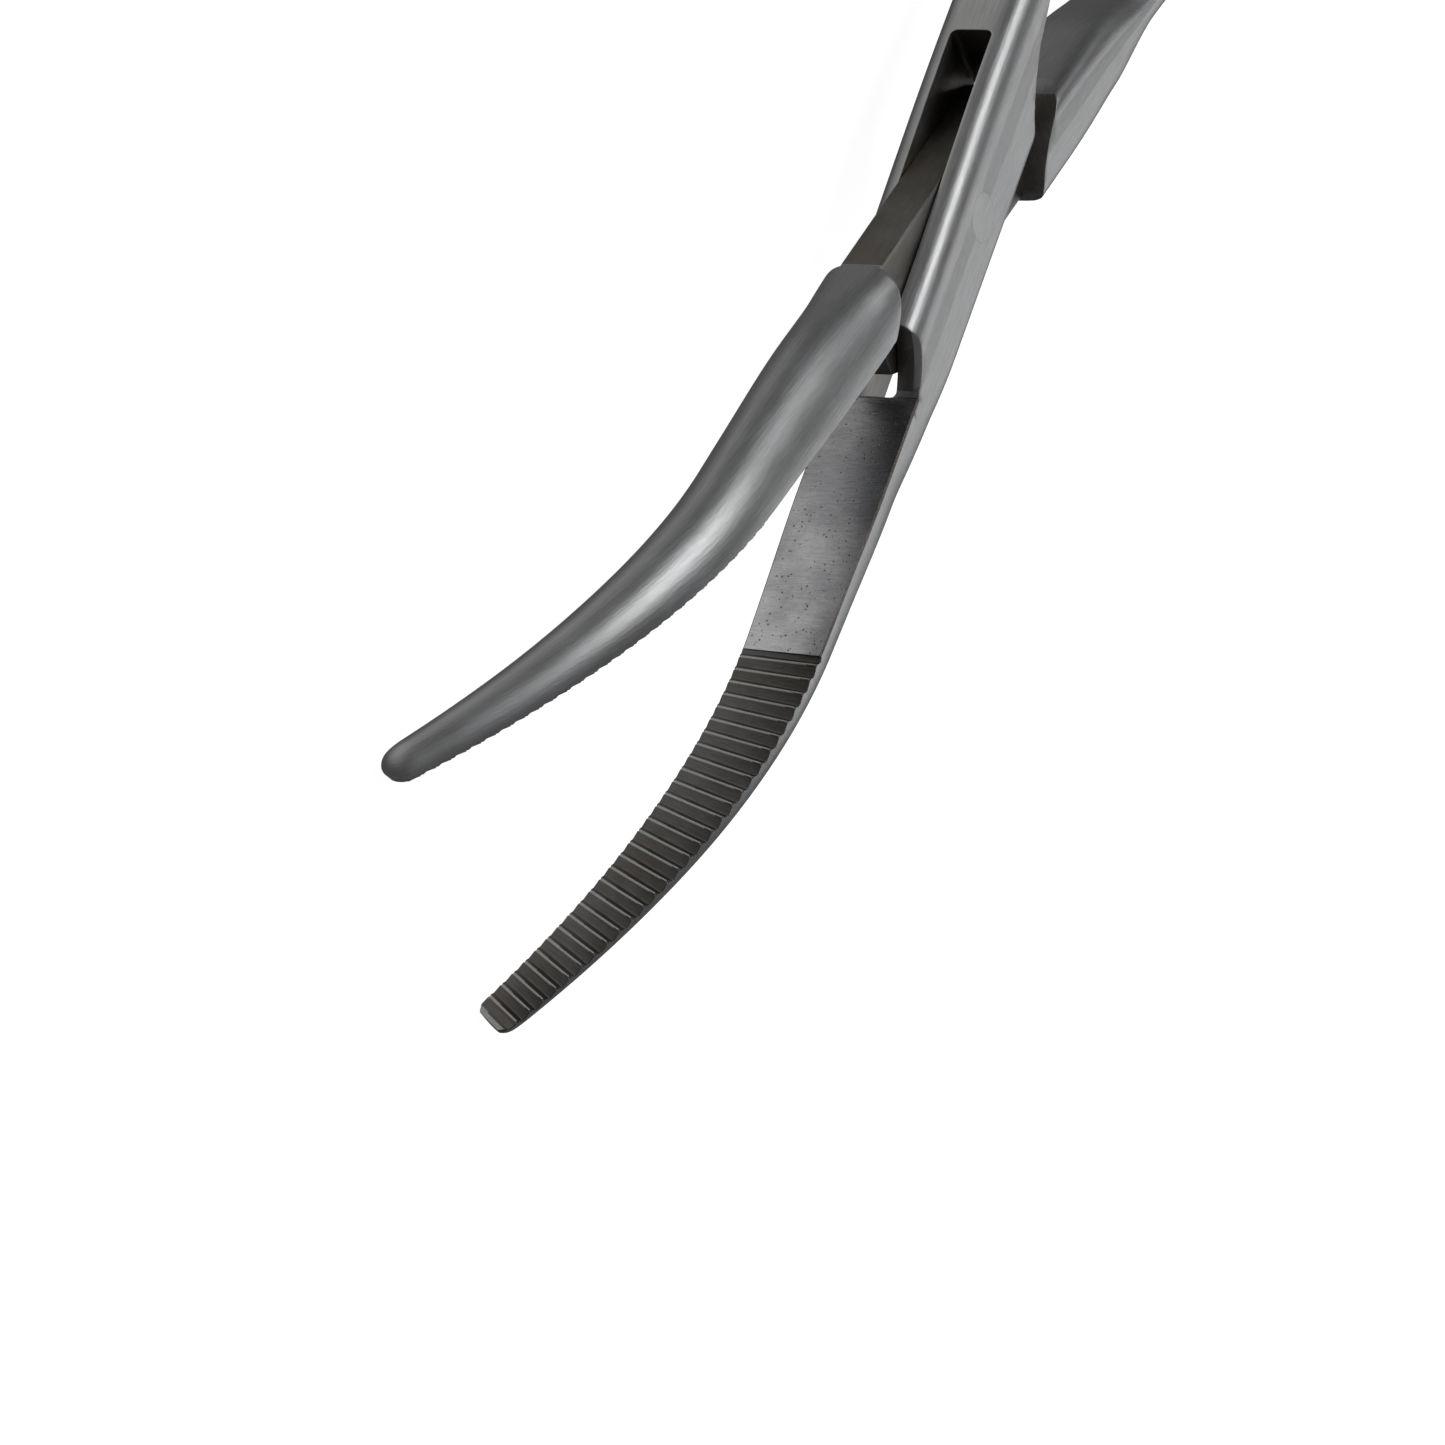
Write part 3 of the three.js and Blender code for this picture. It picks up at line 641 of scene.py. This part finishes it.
def shank_body(name, side):
    """The shank, from inside the box or the waist to the finger ring."""
    plan = (FEMALE_SHANK if side == "female" else MALE_SHANK) + SHANK_REST
    sections = FEMALE_SHANK_SECTIONS if side == "female" else MALE_SHANK_SECTIONS
    rows = [(k, *p) for k, p in enumerate(plan)]
    dense = np.linspace(0, len(plan) - 1, 400)
    line = np.stack([smooth_table(rows, dense, 1), smooth_table(rows, dense, 2)], 1)
    at, place, tangent = curve_by_length(line, SHANK_STATIONS)
    t = np.linspace(0, 2 * math.pi, SHANK_CORNERS, endpoint=False)
    rings = []
    for i, u in enumerate(at / at[-1]):
        wide, thick, roundness = (float(smooth_table(sections, u, k)) for k in (1, 2, 3))
        across = thick * np.sign(np.cos(t)) * np.abs(np.cos(t)) ** (2 / roundness)
        out = wide * np.sign(np.sin(t)) * np.abs(np.sin(t)) ** (2 / roundness)
        ring = np.zeros((len(t), 3))
        ring[:, 0] = place[i, 0] - out * tangent[i, 1]
        ring[:, 1] = place[i, 1] + out * tangent[i, 0]
        ring[:, 2] = across
        rings.append(ring)
    rings = np.array(rings)
    return grid_body(name, rings, ring_uv(rings))


def finger_ring(name):
    """A round bar bent to an oval."""
    verts, uvs, faces = [], [], []
    for i in range(RING_TURNS):
        a = 2 * math.pi * i / RING_TURNS
        centre = (RING_HALF_LENGTH * math.cos(a), RING_HALF_WIDTH * math.sin(a))
        normal = Vector((math.cos(a) / RING_HALF_LENGTH, math.sin(a) / RING_HALF_WIDTH)).normalized()
        here, there = i * RING_SIDES, ((i + 1) % RING_TURNS) * RING_SIDES
        for k in range(RING_SIDES):
            b = 2 * math.pi * k / RING_SIDES
            reach = RING_BAR_RADIUS * math.cos(b)
            x = RING_CENTRE[0] + centre[0] + normal.x * reach
            y = RING_CENTRE[1] + centre[1] + normal.y * reach
            verts.append((x, y, RING_BAR_RADIUS * math.sin(b)))
            uvs.append((RING_GRAIN_RADIUS * a, RING_BAR_RADIUS * b))
            n = (k + 1) % RING_SIDES
            faces.append((here + k, here + n, there + n, there + k))
    return mesh_object(name, verts, faces, uvs)


def jaw_seat(side, gap):
    """The line where the other half's jaw sits against the box, from the rim in to the face."""
    return bezier(*((x + gap, side * y) for x, y in JAW_SEAT), SEAT_POINTS).tolist()


def shank_seat(side, gap):
    """The line where the other half's shank sits against the box, from the back in to the shank."""
    return bezier(*((x - gap, side * y) for x, y in SHANK_SEAT), SEAT_POINTS).tolist()


def catch_body(name, facing):
    """One ratchet catch, a plate with saw teeth; facing is the z side that its teeth look to."""
    outline = [(CATCH_FRONT, CATCH_FRONT_ROOT), (CATCH_BACK, CATCH_BACK_ROOT)]
    for x, inward, first, last in ((CATCH_BACK, 1, 180, 90), (CATCH_FRONT, -1, 90, 0)):
        middle = (x + inward * CATCH_CORNER, CATCH_REACH - CATCH_CORNER)
        for turn in np.radians(np.linspace(first, last, 9)):
            corner = (CATCH_CORNER * math.cos(turn), CATCH_CORNER * math.sin(turn))
            outline.append((middle[0] + corner[0], middle[1] + corner[1]))
    near = -facing * CATCH_FACE_GAP
    far = near - facing * CATCH_THICKNESS
    body = prism(name, outline, min(near, far), max(near, far))
    for i in range(CATCH_TEETH):
        crest = CATCH_REACH - CATCH_TOOTH_START - i * CATCH_PITCH
        floor = crest - CATCH_PITCH + CATCH_CREST
        above, below = near + facing, near - facing * CATCH_DEPTH
        notch = [(crest, above), (crest, near), (floor, below), (floor, above)]
        verts = [(x, y, z) for x in (CATCH_BACK - 3, CATCH_FRONT + 3) for y, z in notch]
        faces = [(0, 1, 2, 3), (7, 6, 5, 4)]
        faces += [(k, k + 4, (k + 1) % 4 + 4, (k + 1) % 4) for k in range(4)]
        cutter = mesh_object("notch", verts, faces, [(v[0], v[1]) for v in verts])
        boolean(body, cutter, "DIFFERENCE")
    return body


def cylinder(name, radius, low, high, sides=72):
    turns = [2 * math.pi * i / sides for i in range(sides)]
    return prism(name, [(radius * math.cos(a), radius * math.sin(a)) for a in turns], low, high)


def slot_cutter():
    """The slot through the box, with small round corners at its ends."""
    corner = SLOT_CORNER
    low, high = -SLOT_HALF_WIDTH, SLOT_HALF_WIDTH
    outline = []
    for x, z, turn in (
        (SLOT_FRONT - corner, low + corner, -90),
        (SLOT_FRONT - corner, high - corner, 0),
        (SLOT_BACK + corner, high - corner, 90),
        (SLOT_BACK + corner, low + corner, 180),
    ):
        for i in range(9):
            a = math.radians(turn + 90 * i / 8)
            outline.append((x + corner * math.cos(a), z + corner * math.sin(a)))
    return prism("slot", outline, -WIDE, WIDE, axis="y")


def waist(name):
    """The thin part that passes through the slot, with ends rounded about the pivot."""
    front, back = WAIST_FRONT_RADIUS, WAIST_BACK_RADIUS
    front_turn = math.asin(WAIST_FRONT_EDGE / front)
    back_turn = math.asin(WAIST_BACK_EDGE / back)
    # The edge is set back where it passes the slot's end with the jaws closed.
    outline = [
        (SLOT_FRONT + 1, FACE_GAP),
        (SLOT_FRONT + 0.3, FACE_GAP),
        (SLOT_FRONT, WAIST_FACE_RELIEF),
        (front, WAIST_FACE_RELIEF),
    ]
    for i in range(7):
        a = -front_turn * i / 6
        outline.append((front * math.cos(a), front * math.sin(a)))
    outline += [(front - 1, -BOX_BACK), *WAIST_ROOT]
    for i in range(8):
        a = math.pi + 0.03 - (back_turn + 0.03) * i / 7
        outline.append((back * math.cos(a), back * math.sin(a)))
    # The other side follows the rim, and ends inside the jaw.
    outline += [
        (-back + 1.2, RIM_AT_SHANK - 0.4),
        (JAW_SEAT_START, BOX_BACK - 0.1),
        (SLOT_FRONT + 1, BOX_BACK - 0.4),
    ]
    half = SLOT_HALF_WIDTH - RUNNING_GAP
    return prism(name, outline, -half, half)


# ---------------------------------------------------------------- halves

def finish_mesh(obj):
    """Merges slivers that the cuts left, and rounds the sharp edges round the lock."""
    bm = bmesh.new()
    bm.from_mesh(obj.data)
    lock = [v for v in bm.verts if LOCK_BACK - 1 < v.co.x < SLOT_FRONT]
    bmesh.ops.remove_doubles(bm, verts=lock, dist=0.02)
    bmesh.ops.dissolve_degenerate(bm, edges=bm.edges, dist=0.003)
    sharp = [
        e for e in bm.edges
        if len(e.link_faces) == 2
        and LOCK_BACK < e.verts[0].co.x < SLOT_FRONT + 0.6
        and e.calc_face_angle(0) > BEVEL_ANGLE
    ]
    bmesh.ops.bevel(
        bm,
        geom=sharp,
        offset=EDGE_ROUND,
        segments=2,
        profile=0.5,
        affect="EDGES",
        clamp_overlap=False,
    )
    bm.to_mesh(obj.data)
    bm.free()


def in_slot(x, z):
    return SLOT_BACK - 0.02 < x < SLOT_FRONT + 0.02 and abs(z) < SLOT_HALF_WIDTH + 0.01


def by_seat(x):
    return JAW_SEAT_START - 0.15 < x < SLOT_FRONT + 0.4 or -12.2 < x < SHANK_SEAT_START + 0.1


def shade_smooth(obj):
    mesh = obj.data
    mesh.polygons.foreach_set("use_smooth", np.ones(len(mesh.polygons), bool))
    mesh.set_sharp_from_angle(angle=SMOOTH_ANGLE)


def paint(obj, mirrored):
    """Chooses each face's steel from where it lies in the half, with painted light on the jaw face and
    painted shade in the grooves, slot, waist and seats.
    """
    mesh = obj.data
    mesh.materials.clear()
    for material in PALETTE:
        mesh.materials.append(material)
    side = -1 if mirrored else 1
    for polygon in mesh.polygons:
        x, y, z = polygon.center
        y *= side
        normal = polygon.normal
        inward = -side * normal.y
        choice = OUTER
        if x > SLOT_FRONT - 0.3 and y < FACE_GAP + SERRATION_DEPTH + 0.01 and inward > 0.3:
            if inward > 0.9 and y < FACE_GAP + 0.01:
                # Painted light: the smooth part of the jaw face takes the brighter face steel; crests
                # among the serrations keep the outer steel.
                choice = LIT_FACE if x < SLOT_FRONT + SERRATION_START else OUTER
            # Painted shade in the grooves of the serrations.
            elif y > FACE_GAP + 0.015:
                choice = GROOVE_SHADE
        # Painted shade on the male waist, on the female's slot walls and on the seat faces.
        elif mirrored and SLOT_BACK + 0.1 < x < JAW_SEAT_START - 0.15 and abs(z) < SLOT_HALF_WIDTH:
            choice = SLOT_SHADE
        elif not mirrored and in_slot(x, z):
            choice = SLOT_SHADE if abs(normal.y) < 0.5 else OUTER
        elif abs(normal.x) > 0.35 and abs(normal.z) < 0.4 and by_seat(x):
            choice = SLOT_SHADE
        polygon.material_index = choice


def half_axes(side):
    """A half's own axes in the frame, as columns: opened from the middle by half the rest angle."""
    up = -Vector(pivot["axis"]).normalized()
    across = Vector((0, 1, 0))
    forward = across.cross(up).normalized()
    half_open = math.radians(-pivot["range_deg"][0] / 2) * side
    x_axis = math.cos(half_open) * forward + math.sin(half_open) * across
    y_axis = -math.sin(half_open) * forward + math.cos(half_open) * across
    return Matrix((x_axis, y_axis, up)).transposed()


def to_place(obj, side):
    """Scales the mesh to metres and puts it on the pivot axis, turned to its place at rest."""
    place = Matrix.Translation(Vector(pivot["pos_m"])) @ half_axes(side).to_4x4()
    obj.data.transform(place @ Matrix.Scale(MM, 4))


def chamfer_seat(obj, line, away):
    """Bevels the edges between a seat and the two broad faces; away is the x side of the cut."""
    reach = 2 * SEAT_CHAMFER
    for side in (1, -1):
        inner = [*line, (line[-1][0] + away, line[-1][1]), (line[0][0] + away, line[0][1])]
        shift = [-math.copysign(reach, away)] * len(line) + [0, 0]
        outer = [(x + dx, y) for (x, y), dx in zip(inner, shift)]
        start = side * (HALF_THICKNESS - SEAT_CHAMFER)
        boolean(obj, loft("chamfer", inner, outer, start, start + side * reach), "DIFFERENCE")


def female_half():
    """One forging: jaw, slotted box, shank, catch and finger ring."""
    body = forward_body("female_half_fine", "female")
    room = [(SLOT_FRONT + 1.85, -WIDE), (SLOT_FRONT + 1.85, FACE_GAP / 2), (SLOT_FRONT, FACE_GAP / 2)]
    room += jaw_seat(-1, 0)[::-1] + [(JAW_SEAT_START, -WIDE)]
    boolean(body, prism("room", room, -WIDE, WIDE), "DIFFERENCE")
    chamfer_seat(body, [(JAW_SEAT_START - 0.05, -3.2)] + jaw_seat(-1, 0)[:-1], 3.0)
    seat = [(SHANK_SEAT_START, WIDE)] + shank_seat(1, 0) + SHANK_ROOM + [(SHANK_ROOM[-1][0], WIDE)]
    boolean(body, prism("seat", seat, -WIDE, WIDE), "DIFFERENCE")
    shank = shank_body("shank", "female")
    boolean(shank, finger_ring("ring"), "UNION")
    boolean(shank, catch_body("catch", 1), "UNION")
    boolean(body, shank, "UNION")
    boolean(body, slot_cutter(), "DIFFERENCE")
    finish_mesh(body)
    boolean(body, cylinder("bore", PIN_RADIUS + PIN_GAP, -WIDE, WIDE), "DIFFERENCE")
    return body


def male_half():
    """One forging: jaw, waist, shank, catch and finger ring, mirrored in Y at the end."""
    body = forward_body("male_half_fine", "male")
    shank = shank_body("shank", "male")
    boolean(shank, finger_ring("ring"), "UNION")
    boolean(shank, catch_body("catch", -1), "UNION")
    room = [(JAW_SEAT_START + SHOULDER_GAP, WIDE)] + jaw_seat(1, SHOULDER_GAP)
    room += [(SLOT_FRONT + SHOULDER_GAP, -WIDE), (SHANK_SEAT_START - SHOULDER_GAP, -WIDE)]
    room += shank_seat(-1, SHOULDER_GAP) + MALE_SHANK_INNER + [(MALE_SHANK_INNER[-1][0], WIDE)]
    boolean(body, prism("room", room, -WIDE, WIDE), "DIFFERENCE")
    boolean(shank, prism("room", room, -WIDE, WIDE), "DIFFERENCE")
    boolean(body, waist("waist"), "UNION")
    boolean(body, shank, "UNION")
    finish_mesh(body)
    boolean(body, cylinder("bore", PIN_RADIUS + RUNNING_GAP, -WIDE, WIDE), "DIFFERENCE")
    bm = bmesh.new()
    bm.from_mesh(body.data)
    bmesh.ops.scale(bm, vec=(1, -1, 1), verts=bm.verts)
    bmesh.ops.reverse_faces(bm, faces=bm.faces)
    bm.to_mesh(body.data)
    bm.free()
    return body


for build, side, body_name in ((female_half, 1, "female_half"), (male_half, -1, "male_half")):
    half = build()
    paint(half, side < 0)
    shade_smooth(half)
    to_place(half, side)
    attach(half, body_name)
    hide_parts(body_name)

pin = cylinder("pivot_pin_fine", PIN_RADIUS, -HALF_THICKNESS, HALF_THICKNESS)
use_material(pin, pin_steel)
shade_smooth(pin)
to_place(pin, 1)
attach(pin, "female_half")
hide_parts("pivot_pin")


# ---------------------------------------------------------------- floor, light and camera

def stage_floor():
    """A white floor just under the object, hidden from reflections."""
    size = 1.2
    corners = [(-size, -size, 0), (size, -size, 0), (size, size, 0), (-size, size, 0)]
    mesh = bpy.data.meshes.new("floor")
    mesh.from_pydata(corners, [], [(0, 1, 2, 3)])
    floor = bpy.data.objects.new("floor", mesh)
    bpy.context.scene.collection.objects.link(floor)
    floor.location.z = cad_box[0][2] - 0.0002
    material = bpy.data.materials.new("floor_white")
    material.use_nodes = True
    shader = material.node_tree.nodes["Principled BSDF"]
    shader.inputs["Base Color"].default_value = (0.9, 0.9, 0.9, 1)
    shader.inputs["Emission Color"].default_value = (1, 1, 1, 1)
    shader.inputs["Emission Strength"].default_value = 0.88
    shader.inputs["Roughness"].default_value = 0.9
    shader.inputs["Specular IOR Level"].default_value = 0.1
    use_material(floor, material)
    floor.visible_glossy = False


def area_light(name, direction, distance, size, power):
    """A square soft light that looks at the middle of the object from the given direction."""
    data = bpy.data.lights.new(name, "AREA")
    data.size = size
    data.energy = power
    light = bpy.data.objects.new(name, data)
    bpy.context.scene.collection.objects.link(light)
    away = Vector(direction).normalized()
    light.location = away * distance
    light.rotation_euler = away.to_track_quat("Z", "Y").to_euler()


def studio_world():
    """A dim surround for the steel to reflect: lightest low on the side that the jaws open to."""
    world = bpy.data.worlds.new("studio")
    bpy.context.scene.world = world
    world.use_nodes = True
    nodes, links = world.node_tree.nodes, world.node_tree.links
    place = nodes.new("ShaderNodeTexCoord")
    facing = nodes.new("ShaderNodeVectorMath")
    facing.operation = "DOT_PRODUCT"
    facing.inputs[1].default_value = Vector((-0.3, -0.8, -0.55)).normalized()
    links.new(place.outputs["Generated"], facing.inputs[0])
    spread = nodes.new("ShaderNodeMapRange")
    spread.inputs["From Min"].default_value = -1.0
    links.new(facing.outputs["Value"], spread.inputs["Value"])
    ramp = nodes.new("ShaderNodeValToRGB")
    stops = ramp.color_ramp.elements
    stops[0].position, stops[0].color = 0.0, (0.12, 0.12, 0.125, 1)
    stops[1].position, stops[1].color = 1.0, (0.62, 0.61, 0.60, 1)
    middle = stops.new(0.86)
    middle.color = (0.12, 0.12, 0.122, 1)
    links.new(spread.outputs["Result"], ramp.inputs["Fac"])
    links.new(ramp.outputs["Color"], nodes["Background"].inputs["Color"])


def view_camera():
    """Looks down on the jaws from the side that they open to."""
    half = half_axes(1)
    position = Vector(pivot["pos_m"]) + half @ Vector(CAMERA_POSITION) * MM
    back = half @ -Vector(CAMERA_FORWARD)
    right = (half @ Vector(CAMERA_UPWARD)).cross(back).normalized()
    data = bpy.data.cameras.new("camera")
    data.sensor_width = 36
    data.lens = CAMERA_LENS
    data.clip_start = 0.01
    data.clip_end = 20
    camera = bpy.data.objects.new("camera", data)
    bpy.context.scene.collection.objects.link(camera)
    turn = Matrix((right, back.cross(right).normalized(), back.normalized())).transposed().to_4x4()
    camera.matrix_world = Matrix.Translation(position) @ turn
    bpy.context.scene.camera = camera


stage_floor()
studio_world()
view_camera()
area_light("key", (-0.42, -0.44, 0.79), 0.9, 0.36, 2.0)
area_light("back_fill", (-0.62, 0.68, 0.45), 1.0, 0.55, 0.95)
bpy.context.scene.view_settings.view_transform = "Standard"
